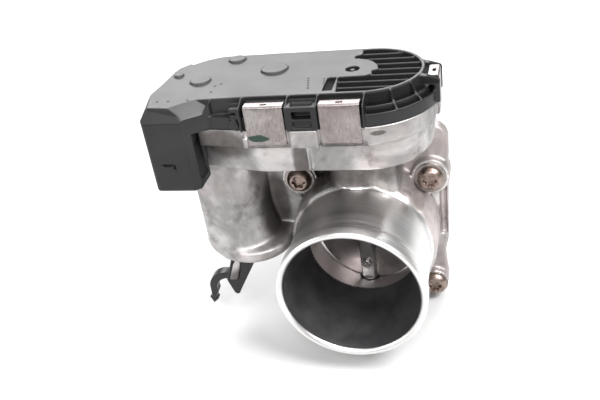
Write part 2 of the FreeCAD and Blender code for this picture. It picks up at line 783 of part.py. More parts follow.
def motor_wave_spring():
    return ring(MOTOR_X, MOTOR_Y, 9.0, 13.5, MOTOR_BOTTOM_Z + 3.3, MOTOR_BOTTOM_Z + 4.0)


# ---------------------------------------------------------------- cover

RIB_Y = (-39.5, -32.7, -25.9, -19.1, -12.3, -5.5, 1.3)
RIVET_PLACE = (1.2, -19.0)
MARK_R = 0.45
MARK_DEPTH = 0.4


def plateau_wire(z):
    """Edge of the full-height top beside the ribbed recess."""
    return path(
        Vector(2.9, 8.0, z),
        [
            Vector(3.5, -0.4, z),
            Vector(0.2, -2.1, z),
            Vector(0.4, -5.6, z),
            (Vector(9.8, -10.4, z), Vector(13.8, -20.6, z)),
            Vector(10.9, -22.1, z),
            Vector(11.6, -25.6, z),
            Vector(8.8, -27.9, z),
            Vector(-4.3, -28.5, z),
            Vector(-2.1, -49.0, z),
            Vector(40.0, -49.0, z),
            Vector(40.0, 8.0, z),
        ],
    )


def ribbed_recess():
    zone = prism(plateau_wire(COVER_TOP_Z - 3.7), Vector(0, 0, 6))
    zone = zone.common(case_slab(25.7, 25.7, COVER_TOP_Z - 3.7, COVER_TOP_Z + 2))
    for y in RIB_Y:
        zone = zone.cut(box(-10, 45, y - 0.55, y + 0.55, COVER_TOP_Z - 4, COVER_TOP_Z - 0.8))
    return zone


def recess_floor():
    """Plastic left under the recess, so that the top stays closed."""
    zone = prism(plateau_wire(COVER_TOP_Z - 5.6), Vector(0, 0, 4))
    return zone.common(case_slab(26.5, 26.5, COVER_TOP_Z - 5.6, COVER_TOP_Z - 2))


def round_end(shape):
    return shape.common(box(CASE_X, 60, -80, 40, 70, 100))


def end_cells():
    """Two rows of pockets round the free end, to be parted by radial ribs."""
    inner = ring(CASE_X, CASE_Y, 27.2, 29.8, 82.0, 96.0)
    outer = ring(CASE_X, CASE_Y, 31.0, 32.8, 82.0, 96.0)
    return round_end(inner).fuse(round_end(outer))


def end_ring():
    return round_end(ring(CASE_X, CASE_Y, 29.8, 31.0, 80.2, 88.3))


def radial_rib(degrees):
    profile = polygon([
        Vector(25.6, -0.6, 81.5),
        Vector(25.6, -0.6, 93.8),
        Vector(27.4, -0.6, 93.8),
        Vector(30.4, -0.6, 88.8),
        Vector(33.9, -0.6, 86.0),
        Vector(33.9, -0.6, 81.5),
    ])
    rib = prism(profile, Vector(0, 1.2, 0))
    rib.rotate(Vector(0, 0, 0), Z, degrees)
    rib.translate(Vector(CASE_X, CASE_Y, 0))
    return rib


GUARD_X = (-47.6, -25.2, -11.0, 10.6)


def front_furniture():
    """Blocks under the two front clips, the latch between them and the thin guard ribs."""
    front = CASE_Y - CLIP_PLANE + CLIP_T + 0.05
    base = JOINT_Z + PARTING
    parts = [
        box(-45.3, -25.9, front, -46.0, base, CLIP_TOP_Z - CLIP_T - 0.05),
        box(-9.7, 9.7, front, -46.0, base, CLIP_TOP_Z - CLIP_T - 0.05),
        box(-24.0, -11.2, -56.0, -46.0, base, 91.4),
    ]
    for x in GUARD_X:
        parts.append(guard_rib(x))
    hook = box(-52.8, -48.4, -53.4, -44.0, COVER_FLANGE_Z - 0.5, 90.6)
    slit = box(-53.0, -49.4, -54.0, -51.2, 87.4, 88.6)
    parts.append(hook.cut(slit))
    return parts


def guard_rib(x):
    profile = polygon([
        Vector(x, -46.0, JOINT_Z + PARTING),
        Vector(x, -46.0, 93.8),
        Vector(x, -48.0, 93.8),
        Vector(x, -52.3, 92.4),
        Vector(x, -56.3, 91.2),
        Vector(x, -56.3, JOINT_Z + PARTING),
    ])
    return prism(profile, Vector(0.9, 0, 0))


def latch_window():
    return [
        box(-22.0, -13.0, -57.0, -52.0, 85.4, 89.2),
        box(-22.0, -13.0, -57.0, -54.8, 81.2, 84.2),
        box(-22.6, -12.6, -54.4, -49.4, 90.2, 92.0),
    ]


def end_furniture():
    """Block under the clip at the free end, between two stout guards that stand past it."""
    out = CASE_X + END_CLIP_PLANE
    base = JOINT_Z + PARTING
    block_top = CLIP_TOP_Z - CLIP_T - 0.05
    half = END_CLIP_LENGTH / 2 + 0.2
    tip = out + END_GUARD_OUT
    parts = [box(33.0, out - CLIP_T - 0.05, CASE_Y - half, CASE_Y + half, base, block_top)]
    for y0 in (CASE_Y - half - END_GUARD_T, CASE_Y + half):
        bar = prism(polygon([
            Vector(33.5, y0, base),
            Vector(33.5, y0, 93.6),
            Vector(35.5, y0, 93.4),
            Vector(tip - 0.8, y0, 91.2),
            Vector(tip, y0, 90.2),
            Vector(tip, y0, base),
        ]), Vector(0, END_GUARD_T, 0))
        gap = box(37.0, out - 2.2, y0 - 1, y0 + END_GUARD_T + 1, 82.6, 88.4)
        parts.append(bar.cut(gap))
    return parts


def connector_shell():
    """Shell that opens downwards, and the neck that joins it to the cover."""
    x0, x1 = CONN_X
    y0, y1 = CONN_Y
    base = JOINT_Z + PARTING
    shell = box(x0, x1, y0, y1, CONN_BOTTOM_Z, COVER_TOP_Z)
    shell = shell.cut(prism(polygon([
        Vector(x1 - CONN_CHAMFER, y0, CONN_BOTTOM_Z - 1),
        Vector(x1 + 1, y0 - 1, CONN_BOTTOM_Z - 1),
        Vector(x1, y0 + CONN_CHAMFER, CONN_BOTTOM_Z - 1),
    ]), Vector(0, 0, 60)))
    shell = rounded(shell, 2.4, lambda edge: upright(edge) and edge.BoundBox.YMax < y0 + 1 and edge.BoundBox.XMax < x0 + 1)
    shell = rounded(shell, 1.2, lambda edge: edge.BoundBox.ZMax < CONN_BOTTOM_Z + 0.01)
    bevel = prism(polygon([
        Vector(x0 - 1, y0 - 1, CONN_BEVEL_Z),
        Vector(x0 - 1, y0, CONN_BEVEL_Z),
        Vector(x0 - 1, y0 + CONN_BEVEL_IN, COVER_TOP_Z),
        Vector(x0 - 1, y0 + CONN_BEVEL_IN, COVER_TOP_Z + 1),
        Vector(x0 - 1, y0 - 1, COVER_TOP_Z + 1),
    ]), Vector(x1 - x0 + 2, 0, 0))
    side = box(x1 - 1.2, x1 + 1, y0 + 4.6, y1 - 1.0, CONN_BOTTOM_Z + 4.0, 75.0)
    neck = prism(polygon([
        Vector(x0, y1 - 0.5, base),
        Vector(x0, y0 + 4.2, base),
        Vector(x1 - CONN_CHAMFER / 2, y0 + CONN_CHAMFER / 2, base),
        Vector(-62.9, -50.0, base),
        Vector(-60.0, -40.0, base),
        Vector(-74.0, -10.0, base),
        Vector(-88.0, -1.5, base),
        Vector(-92.3, -7.0, base),
        Vector(-93.4, -12.0, base),
        Vector(-94.6, -28.5, base),
        Vector(x0, -40.0, base),
    ]), Vector(0, 0, COVER_TOP_Z - base))
    return shell.cut(bevel).cut(side), neck


def connector_socket():
    x0, x1 = CONN_X
    y0, y1 = CONN_Y
    socket = box(x0 + CONN_WALL, x1 - CONN_WALL, y0 + CONN_WALL, y1 - CONN_WALL,
                 CONN_BOTTOM_Z - 1, 74.0)
    return rounded(socket, 1.5, upright)


def lock_slot():
    """Small angled slot in the connector's front wall."""
    y0 = CONN_Y[0]
    return [
        box(-89.8, -82.7, y0 - 1, y0 + 1.5, 64.2, 65.4),
        box(-83.9, -82.7, y0 - 1, y0 + 1.5, 62.0, 65.4),
    ]


def terminal_boxes():
    blades = []
    for x in (-90.0, -84.2, -78.4):
        for y in (-54.0, -49.1):
            blades.append(box(x - 0.75, x + 0.75, y - 0.3, y + 0.3, 60.0, 80.0))
    return blades


def connector_terminals():
    return Part.makeCompound(terminal_boxes())


def above_plane(corners, spread, height):
    """Slab that stands on the plane through three points, on its upper side."""
    first, second, third = corners
    middle = (first + second + third) * (1 / 3)
    normal = (second - first).cross(third - first)
    normal = normal * ((1 if normal.z > 0 else -1) / normal.Length)
    return prism(polygon([middle + (corner - middle) * spread for corner in corners]), normal * height)


def corner_facet():
    """Slanted corner where the top falls to the connector's flank."""
    slab = above_plane([
        Vector(-76.8, -53.8, COVER_TOP_Z), Vector(-69.7, -48.3, COVER_TOP_Z), Vector(-73.8, -59.7, 86.7),
    ], 4.0, 12.0)
    return slab.common(box(-90.0, -58.0, -70.0, -48.3, 80.0, 110.0))


def left_hip():
    """Slope along the connector's outer flank, which runs out towards the back."""
    x0, y0 = CONN_X[0], CONN_Y[0]
    return above_plane([
        Vector(x0, y0, CONN_BEVEL_Z + 0.8), Vector(-92.0, y0 + CONN_BEVEL_IN, COVER_TOP_Z),
        Vector(x0, -40.0, COVER_TOP_Z),
    ], 1.5, 10.0)


def low_bosses():
    """Shallow round pads on the top."""
    pads = []
    for x, y, radius in ((-38.5, -15.5, 6.8), (-74.2, -26.8, 5.2), (-62.4, 0.0, 4.5), (-88.6, -18.4, 2.5)):
        pad = post(x, y, radius, COVER_TOP_Z - 1.0, COVER_TOP_Z + PAD_HEIGHT)
        pads.append(rounded(pad, 0.4, lambda edge: edge.BoundBox.ZMin > COVER_TOP_Z + PAD_HEIGHT - 0.1))
    return pads


def mould_marks():
    """Small round pits in the top: two rows of dots, a short slanted run and some single ones."""
    places = [(-64.7, -33.0), (-64.5, -40.1), (-62.2, -30.8), (-89.0, -49.4), (-83.3, -49.4),
              (-73.6, -49.1), (-62.2, 3.2), (-60.3, 4.4)]
    for index in range(5):
        along = index / 4
        places.append((-18.7 + 2.3 * along, -28.9 - 11.4 * along))
        places.append((-10.7 + 2.1 * along, -29.8 - 11.3 * along))
    return [post(x, y, MARK_R, COVER_TOP_Z - MARK_DEPTH, COVER_TOP_Z + 1) for x, y in places]


def board_pins():
    return [(-14.0, -28.0), (-14.0, -8.0)]


def gear_cover():
    base = JOINT_Z + PARTING
    flange = case_slab(34.0, 30.2, base, COVER_FLANGE_Z)
    dome = case_slab(27.3, 28.3, COVER_FLANGE_Z - 0.5, COVER_TOP_Z)
    shell, neck = connector_shell()
    body = join([flange, dome, shell, neck])
    body = body.cut(end_cells())
    ribs = [radial_rib(angle) for angle in (-86, -60, -36, 36, 60, 86)]
    body = join([body, end_ring()] + ribs + front_furniture() + end_furniture())
    hollow = case_cavity(base - 1, 84.2)
    upper_hollow = notched_slab(24.6, 20.7, 4.0, 83.5, 91.0, MOTOR_X).cut(recess_floor())
    cuts = [hollow, upper_hollow, ribbed_recess(), corner_facet(), left_hip(), connector_socket(),
            end_clip_flat()]
    cuts += latch_window() + lock_slot() + terminal_boxes()
    cuts.append(box(-9.2, -4.8, -43.8, -28.6, 91.8, COVER_TOP_Z + 1))
    cuts.append(post(*RIVET_PLACE, 3.4, 92.0, COVER_TOP_Z + 1))
    cuts.append(Part.makeCompound(mould_marks()))
    for tool in cuts:
        body = body.cut(tool)
    details = low_bosses() + [post(*RIVET_PLACE, 1.3, 91.5, 93.6), drum(-51.1, 82.6, 2.6, -54.6, -51.5)]
    details += [post(x, y, 1.4, 86.4, 91.5) for x, y in board_pins()]
    return join([body] + details)


def cover_seal():
    outer = notched_slab(32.4, 28.6, 1.3, JOINT_Z - 1.5, JOINT_Z + PARTING)
    return outer.cut(notched_slab(31.0, 27.2, 2.7, JOINT_Z - 2, JOINT_Z + 1))


def sensor_board():
    board = box(-18.0, 11.0, -32.0, -6.0, 84.9, 86.4)
    chip = box(-4.5, 4.5, SHAFT_Y - 4.0, SHAFT_Y + 4.0, 84.2, 84.9)
    return join([board, chip])


def clip(length, plane):
    """C-shaped spring clip, modelled facing -Y about the origin in plan."""
    front = -plane
    inner = front + CLIP_T
    half = length / 2
    profile = path(
        Vector(-half, front, CLIP_BOTTOM_Z + 1.0),
        [
            Vector(-half, front, CLIP_TOP_Z - 1.2),
            (Vector(-half, front + 0.35, CLIP_TOP_Z - 0.35), Vector(-half, front + 1.2, CLIP_TOP_Z)),
            Vector(-half, front + 5.2, CLIP_TOP_Z),
            Vector(-half, front + 5.2, CLIP_TOP_Z - CLIP_T),
            Vector(-half, inner, CLIP_TOP_Z - CLIP_T),
            Vector(-half, inner, CLIP_BOTTOM_Z + CLIP_T),
            Vector(-half, inner + 3.0, CLIP_BOTTOM_Z + CLIP_T),
            Vector(-half, inner + 3.0, CLIP_BOTTOM_Z),
            Vector(-half, front + 1.0, CLIP_BOTTOM_Z),
            (Vector(-half, front + 0.3, CLIP_BOTTOM_Z + 0.3), Vector(-half, front, CLIP_BOTTOM_Z + 1.0)),
        ],
    )
    body = prism(profile, Vector(length, 0, 0))
    return body.cut(box(-1.6, 1.6, front + 1.8, front + 3.4, CLIP_TOP_Z - 2, CLIP_TOP_Z + 1))


def cover_clips():
    clips = []
    front = [(x, 0, CLIP_PLANE, CLIP_LENGTH) for x in CLIP_X]
    for x, turn, plane, length in front + [(CASE_X, 90, END_CLIP_PLANE, END_CLIP_LENGTH)]:
        piece = clip(length, plane)
        piece.rotate(Vector(0, 0, 0), Z, turn)
        piece.translate(Vector(x, CASE_Y, 0))
        clips.append(piece)
    return Part.makeCompound(clips)


NODES = {
    "throttle_housing": throttle_housing,
    "gear_cover": gear_cover,
    "cover_seal": cover_seal,
    "cover_clips": cover_clips,
    "connector_terminals": connector_terminals,
    "sensor_board": sensor_board,
    "throttle_shaft": throttle_shaft,
    "throttle_plate": throttle_plate,
    "plate_screws": plate_screws,
    "upper_bearing": lambda: bearing(37.6, 48.0),
    "upper_shaft_seal": lambda: bearing(33.6, 37.2),
    "lower_bearing": lambda: bearing(-46.8, -37.2),
    "lower_shaft_seal": lambda: bearing(-36.8, -33.2),
    "shaft_end_plug": shaft_end_plug,
    "return_spring": return_spring,
    "spring_lever": spring_lever,
    "sector_gear": sector_gear,
    "sensor_magnet": sensor_magnet,
    "idler_gear": idler_gear,
    "idler_pin": idler_pin,
    "motor_pinion": motor_pinion,
    "motor_shaft": motor_shaft,
    "motor_armature": motor_armature,
    "motor_commutator": motor_commutator,
    "motor_can": motor_can,
    "motor_magnets": motor_magnets,
    "motor_brushes": motor_brushes,
    "brush_carrier": brush_carrier,
    "motor_end_plate": motor_end_plate,
    "motor_lower_bush": motor_lower_bush,
    "motor_upper_bush": motor_upper_bush,
    "motor_screws": motor_screws,
    "motor_terminals": motor_terminals,
    "motor_wave_spring": motor_wave_spring,
    "flange_screws": flange_screws,
    "flange_washers": flange_washers,
    "manifold_seal": manifold_seal,
    "harness_clip": harness_clip,
}


os.makedirs("parts", exist_ok=True)
for name, build in NODES.items():
    solid = build()
    solid.exportStep("parts/" + name + ".step")
    print(name, solid.isValid(), len(solid.Solids), round(solid.Volume, 1))
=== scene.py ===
"""Looks for the throttle body: skins with soft cast edges, turned surfaces, and procedural materials."""

import json
import math

import bmesh
import bpy
import numpy as np
from mathutils import Matrix, Vector

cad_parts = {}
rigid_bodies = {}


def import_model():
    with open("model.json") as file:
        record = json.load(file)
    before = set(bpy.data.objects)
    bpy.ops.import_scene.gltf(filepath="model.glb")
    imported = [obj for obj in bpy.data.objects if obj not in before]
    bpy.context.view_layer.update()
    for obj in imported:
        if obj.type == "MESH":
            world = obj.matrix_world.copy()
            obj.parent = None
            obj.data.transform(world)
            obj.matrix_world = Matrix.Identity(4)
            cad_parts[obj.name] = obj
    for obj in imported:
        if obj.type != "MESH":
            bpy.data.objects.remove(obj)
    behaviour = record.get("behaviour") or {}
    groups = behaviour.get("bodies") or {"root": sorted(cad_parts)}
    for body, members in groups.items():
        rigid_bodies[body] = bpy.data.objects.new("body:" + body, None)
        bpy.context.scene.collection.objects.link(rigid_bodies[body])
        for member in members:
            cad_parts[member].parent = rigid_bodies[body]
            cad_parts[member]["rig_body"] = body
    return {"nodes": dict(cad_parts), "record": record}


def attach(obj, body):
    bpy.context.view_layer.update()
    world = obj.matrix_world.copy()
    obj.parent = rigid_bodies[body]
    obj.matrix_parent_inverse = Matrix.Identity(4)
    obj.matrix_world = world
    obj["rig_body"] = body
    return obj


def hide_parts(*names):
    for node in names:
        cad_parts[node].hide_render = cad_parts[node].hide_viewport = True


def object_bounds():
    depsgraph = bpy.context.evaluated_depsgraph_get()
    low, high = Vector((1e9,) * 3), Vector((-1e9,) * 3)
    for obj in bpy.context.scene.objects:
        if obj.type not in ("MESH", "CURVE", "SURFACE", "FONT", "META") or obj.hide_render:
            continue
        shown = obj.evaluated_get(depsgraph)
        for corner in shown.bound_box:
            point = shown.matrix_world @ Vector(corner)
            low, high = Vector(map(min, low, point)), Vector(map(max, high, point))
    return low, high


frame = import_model()
cad_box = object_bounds()
NODES = frame["nodes"]
MM = 0.001

# Surfaces turned about the air bore, whose axis is the Y axis
LIP_R = 37.5 * MM
SPIGOT_R = 36.3 * MM
BODY_R = 39.0 * MM
BORE_R = 29.5 * MM
MOUTH_R = 34.2 * MM
MOUTH_Y = -78.0 * MM
TAPER_END_Y = -32.0 * MM
SPIGOT_END_Y = -35.5 * MM
LIP_END_Y = -69.5 * MM

# Machined faces of the housing: the flange, its bosses, and the joint with the cover
FLANGE_Y = 0.0
BOSS_FACE_Y = -12.5 * MM
BOSS_R = 10.0 * MM
BOLTS = [(x * MM, z * MM) for x in (-35.25, 35.25) for z in (29.6, -39.0)]
JOINT_Z = 79.6 * MM

# The cover: its top, and the bounds of the ribbed recess sunk into it
COVER_TOP_Z = 94.0 * MM
RECESS_LOW_Z = 88.8 * MM
RECESS_HIGH_Z = 93.0 * MM
RECESS_LEFT_X = -10.5 * MM
RECESS_FRONT_Y = -48.5 * MM

# The fine bevel on CAD nodes that keep their shape
BROKEN_EDGE = 0.12 * MM
SHARP_ANGLE = math.radians(40)


# ---------------------------------------------------------------- node helpers

class Shader:
    """A material with a Principled shader and short ways to add nodes to it."""

    def __init__(self, name):
        self.material = bpy.data.materials.new(name)
        self.material.use_nodes = True
        self.tree = self.material.node_tree
        self.tree.nodes.clear()
        self.principled = self.add("ShaderNodeBsdfPrincipled")
        output = self.add("ShaderNodeOutputMaterial")
        self.tree.links.new(self.principled.outputs[0], output.inputs[0])
        self.place = self.add("ShaderNodeTexCoord").outputs["Object"]

    def add(self, kind, **settings):
        made = self.tree.nodes.new(kind)
        for key, value in settings.items():
            setattr(made, key, value)
        return made

    def put(self, socket, value):
        if isinstance(value, bpy.types.NodeSocket):
            self.tree.links.new(value, socket)
        else:
            socket.default_value = value

    def set(self, **values):
        """Sets the shader's own sockets, named with _ for each space."""
        for key, value in values.items():
            self.put(self.principled.inputs[key.replace("_", " ")], value)

    def math(self, operation, a, b=0.0, clamp=False):
        made = self.add("ShaderNodeMath", operation=operation, use_clamp=clamp)
        self.put(made.inputs[0], a)
        self.put(made.inputs[1], b)
        return made.outputs[0]

    def times(self, a, b):
        return self.math("MULTIPLY", a, b)

    def raised(self, value, amount, most):
        """The value plus amount times most, kept within 0 to 1."""
        return self.math("ADD", value, self.times(amount, most), clamp=True)

    def scaled(self, x, y, z):
        """The object's coordinates, stretched so that noise on them draws lines or bands."""
        made = self.add("ShaderNodeVectorMath", operation="MULTIPLY")
        self.put(made.inputs[0], self.place)
        made.inputs[1].default_value = (x, y, z)
        return made.outputs[0]

    def axes(self):
        parts = self.add("ShaderNodeSeparateXYZ")
        self.put(parts.inputs[0], self.place)
        return parts.outputs

    def noise(self, scale, detail=4.0, rough=0.5, place=None, distortion=0.0):
        made = self.add("ShaderNodeTexNoise")
        self.put(made.inputs["Vector"], place or self.place)
        made.inputs["Scale"].default_value = scale
        made.inputs["Detail"].default_value = detail
        made.inputs["Roughness"].default_value = rough
        made.inputs["Distortion"].default_value = distortion
        return made.outputs[0]

    def ranged(self, value, low, high, to_low=0.0, to_high=1.0):
        """A smooth step from to_low to to_high as the value goes from low to high."""
        made = self.add("ShaderNodeMapRange", clamp=True, interpolation_type="SMOOTHSTEP")
        self.put(made.inputs[0], value)
        for index, number in enumerate((low, high, to_low, to_high), start=1):
            made.inputs[index].default_value = number
        return made.outputs[0]

    def blend(self, amount, first, second):
        made = self.add("ShaderNodeMix", data_type="RGBA")
        self.put(made.inputs[0], amount)
        for socket, value in ((made.inputs[6], first), (made.inputs[7], second)):
            self.put(socket, (*value, 1.0) if isinstance(value, tuple) else value)
        return made.outputs[2]

    def tinted(self, colour, tint, amount, most):
        """Turns the colour towards the tint, by at most the given share."""
        return self.blend(self.times(amount, most), colour, tint)

    def edges(self, low, high):
        """1 on convex edges and 0 elsewhere, or with low above high, 1 in hollows."""
        geometry = self.add("ShaderNodeNewGeometry")
        return self.ranged(geometry.outputs["Pointiness"], low, high)

    def patch(self, centre, reach):
        """A cloudy-edged blot: 1 at the centre, 0 beyond the reach along each axis."""
        total = 0.0
        for value, middle, size in zip(self.axes(), centre, reach):
            part = self.math("DIVIDE", self.math("SUBTRACT", value, middle), size)
            total = self.math("ADD", total, self.math("POWER", self.math("ABSOLUTE", part), 2.0))
        total = self.math("ADD", total, self.times(self.noise(110, 4, 0.6), 0.7))
        return self.ranged(total, 0.75, 1.55, 1.0, 0.0)

    def bumps(self, *layers):
        """Stacks (height, strength, distance) layers into the shader's normal."""
        normal = None
        for height, strength, distance in layers:
            made = self.add("ShaderNodeBump")
            made.inputs["Strength"].default_value = strength
            made.inputs["Distance"].default_value = distance
            self.put(made.inputs["Height"], height)
            if normal is not None:
                self.put(made.inputs["Normal"], normal)
            normal = made.outputs[0]
        self.put(self.principled.inputs["Normal"], normal)


def shade(colour, factor, most=1.0):
    """The colour made lighter or darker, with no channel above most."""
    return tuple(min(channel * factor, most) for channel in colour)


# ---------------------------------------------------------------- materials

# Patches painted dark on the casting: mostly painted shade in hollows and under parts, such as the neck, the
# webs and the tray beside the connector, and partly grime: (centre, reach along each axis) in metres
SHADE_AND_GRIME = [
    ((-0.0610, -0.052, 0.0705), (0.0180, 0.012, 0.0110)),
    ((-0.0220, -0.051, 0.0600), (0.0045, 0.012, 0.0130)),
    ((-0.0060, -0.022, 0.0470), (0.0360, 0.022, 0.0150)),
    ((-0.0500, -0.012, 0.0130), (0.0080, 0.024, 0.0240)),
    ((-0.0220, -0.020, 0.0330), (0.0090, 0.014, 0.0060)),
    ((-0.0733, -0.037, -0.0260), (0.0080, 0.012, 0.0120)),
    ((0.0165, -0.053, 0.0762), (0.0040, 0.006, 0.0013)),
]

# The dab of marking paint on the left clip: middle, half width and half height, and the face it is on
DAB_X, DAB_Z = -39.8 * MM, 76.1 * MM
DAB_HALF_WIDTH, DAB_HALF_HEIGHT = 5.6 * MM, 2.0 * MM
CLIP_FACE_Y = -54.0 * MM


def cast_metal():
    """Matte die-cast skin: mottled, stained in places, lighter on worn edges, and darkened in set patches by
    painted shade, partly grime.
    """
    s = Shader("cast_aluminium")
    clouds = s.noise(38, 5, 0.6, distortion=0.6)
    stains = s.ranged(s.noise(75, 6, 0.62), 0.53, 0.70)
    warm = s.ranged(s.noise(19, 3), 0.40, 0.62)
    colour = s.blend(s.ranged(clouds, 0.34, 0.68), (0.27, 0.263, 0.260), (0.56, 0.545, 0.54))
    colour = s.tinted(colour, (0.52, 0.425, 0.41), warm, 0.45)
    colour = s.tinted(colour, (0.095, 0.080, 0.075), stains, 0.55)
    colour = s.tinted(colour, (0.72, 0.71, 0.70), s.edges(0.53, 0.60), 0.6)
    # Painted shade, partly grime: the listed patches darken the casting nearly to black
    shade_and_grime = 0.0
    for centre, reach in SHADE_AND_GRIME:
        shade_and_grime = s.math("MAXIMUM", shade_and_grime, s.patch(centre, reach))
    colour = s.tinted(colour, (0.070, 0.058, 0.052), shade_and_grime, 0.80)
    rough = s.ranged(s.noise(260, 4), 0.3, 0.7, 0.40, 0.58)
    s.set(Base_Color=colour, Metallic=0.82, Roughness=rough)
    s.bumps((s.noise(160, 4, 0.55), 0.40, 0.0004), (s.noise(1500, 3, 0.6), 0.45, 0.00012))
    return s.material


def turned_metal():
    """Bright metal with the fine lines that a lathe tool leaves round the bore axis."""
    s = Shader("turned_aluminium")
    lines = s.noise(1.0, 3, 0.7, s.scaled(14, 3600, 14))
    bands = s.noise(1.0, 2, 0.5, s.scaled(8, 420, 8))
    smudge = s.ranged(s.noise(48, 4), 0.42, 0.72)
    colour = s.blend(s.ranged(bands, 0.3, 0.7), (0.68, 0.675, 0.67), (0.77, 0.765, 0.76))
    colour = s.tinted(colour, (0.60, 0.545, 0.52), smudge, 0.22)
    rough = s.ranged(bands, 0.25, 0.75, 0.27, 0.36)
    s.set(Base_Color=colour, Metallic=1.0, Roughness=rough)
    s.bumps((bands, 0.012, 0.0002), (lines, 0.045, 0.00004))
    return s.material


def milled_metal():
    """Flat faces left by a milling cutter: duller than the turned ones, with straight feed marks."""
    s = Shader("milled_aluminium")
    marks = s.noise(1.0, 3, 0.6, s.scaled(45, 20, 1500))
    smudge = s.ranged(s.noise(40, 5, 0.6), 0.40, 0.68)
    colour = s.blend(s.ranged(marks, 0.3, 0.7), (0.43, 0.425, 0.42), (0.52, 0.515, 0.51))
    colour = s.tinted(colour, (0.30, 0.265, 0.25), smudge, 0.45)
    rough = s.ranged(marks, 0.3, 0.7, 0.34, 0.44)
    s.set(Base_Color=colour, Metallic=0.95, Roughness=rough)
    s.bumps((marks, 0.06, 0.00005))
    return s.material


def painted_shade_bore():
    """Matte wall of the intake taper, painted near black as painted shade deep in the bore."""
    s = Shader("intake_wall")
    lines = s.noise(1.0, 3, 0.6, s.scaled(30, 1500, 30))
    haze = s.ranged(s.noise(60, 5, 0.6), 0.35, 0.7)
    # Painted shade: a near-black colour for the shade inside the taper
    colour = s.blend(haze, (0.028, 0.028, 0.030), (0.056, 0.055, 0.056))
    rough = s.ranged(lines, 0.3, 0.7, 0.42, 0.56)
    s.set(Base_Color=colour, Metallic=0.25, Roughness=rough)
    s.bumps((lines, 0.12, 0.00008))
    return s.material


def painted_lit_top(s, colour, pale):
    """The cover's top, painted paler in uneven clouds as painted light, where it catches the light."""
    crown = s.ranged(s.axes()[2], COVER_TOP_Z - 0.7 * MM, COVER_TOP_Z - 0.2 * MM)
    lit_clouds = s.ranged(s.noise(24, 5, 0.6, distortion=0.5), 0.30, 0.70, 0.60, 1.0)
    return s.tinted(colour, pale, crown, lit_clouds)


def recess(s):
    """1 inside the ribbed recess in the cover, 0 elsewhere."""
    x, y, z = s.axes()
    heights = s.times(s.ranged(z, RECESS_LOW_Z, RECESS_LOW_Z + 0.8 * MM),
                      s.ranged(z, RECESS_HIGH_Z, RECESS_HIGH_Z - 0.4 * MM))
    inside = s.times(heights, s.ranged(x, RECESS_LEFT_X, RECESS_LEFT_X + 0.5 * MM))
    return s.times(inside, s.ranged(y, RECESS_FRONT_Y, RECESS_FRONT_Y + 0.5 * MM))


def filled_plastic(name, dark, light, rough, pale=None):
    """Glass-filled moulding: fine grain, faint flow clouds, paler handled edges, dirt in the corners.

    Given a pale colour, it is the cover, with its top painted paler as painted light and its recess painted
    near black as painted shade and made matter.
    """
    s = Shader(name)
    flow = s.ranged(s.noise(30, 4, 0.55, s.scaled(1.0, 0.35, 1.0), 0.9), 0.35, 0.70)
    dust = s.ranged(s.noise(420, 4, 0.65), 0.60, 0.78)
    colour = s.blend(flow, dark, light)
    colour = s.tinted(colour, shade(light, 2.2), dust, 0.22)
    colour = s.tinted(colour, shade(light, 2.6), s.edges(0.54, 0.62), 0.45)
    matt = s.ranged(s.noise(60, 3), 0.3, 0.7, rough - 0.02, rough + 0.05)
    if pale:
        # Painted light: the top made paler than the sides
        colour = painted_lit_top(s, colour, pale)
        recess_shade = recess(s)
        # Painted shade: the recess coloured near black
        colour = s.blend(recess_shade, colour, (0.003, 0.003, 0.003))
        matt = s.raised(matt, recess_shade, 0.60)
    caked = s.edges(0.488, 0.45)
    colour = s.tinted(colour, (0.004, 0.004, 0.004), caked, 0.8)
    s.set(Base_Color=colour, Roughness=s.raised(matt, caked, 0.35), Specular_IOR_Level=0.40)
    s.bumps((s.noise(2600, 2, 0.5), 0.26, 0.00005), (s.noise(90, 2), 0.05, 0.0002))
    return s.material


def paint_dab(s):
    """1 on the ragged oval of marking paint on the left clip's face, 0 elsewhere."""
    x, y, z = s.axes()
    across = s.math("DIVIDE", s.math("SUBTRACT", x, DAB_X), DAB_HALF_WIDTH)
    height = s.math("DIVIDE", s.math("SUBTRACT", z, DAB_Z), DAB_HALF_HEIGHT)
    reach = s.math("SQRT", s.math("ADD", s.math("POWER", across, 2.0), s.math("POWER", height, 2.0)))
    reach = s.math("ADD", reach, s.times(s.noise(420, 3), 0.7))
    return s.times(s.ranged(reach, 1.18, 1.34, 1.0, 0.0), s.ranged(y, CLIP_FACE_Y, CLIP_FACE_Y - 0.6 * MM))


def sheet_steel():
    """Bright spring steel with brushed grain, brown stains and one dab of green marking paint."""
    s = Shader("spring_clip_steel")
    grain = s.noise(1.0, 4, 0.6, s.scaled(1000, 1000, 330))
    stain = s.ranged(s.noise(260, 6, 0.75, distortion=0.5), 0.54, 0.68)
    tarnish = s.ranged(s.noise(46, 4, 0.6), 0.42, 0.64)
    dab = paint_dab(s)
    colour = s.blend(s.ranged(grain, 0.3, 0.7), (0.27, 0.246, 0.240), (0.38, 0.350, 0.343))
    colour = s.tinted(colour, (0.12, 0.085, 0.075), stain, 0.55)
    colour = s.tinted(colour, (0.17, 0.135, 0.13), tarnish, 0.5)
    colour = s.blend(dab, colour, (0.006, 0.026, 0.016))
    rough = s.math("ADD", s.ranged(grain, 0.25, 0.75, 0.26, 0.38), s.times(stain, 0.15))
    s.set(Base_Color=colour, Metallic=s.math("SUBTRACT", 1.0, dab), Roughness=rough)
    s.bumps((grain, 0.10, 0.00005), (s.noise(90, 2), 0.10, 0.0004))
    return s.material


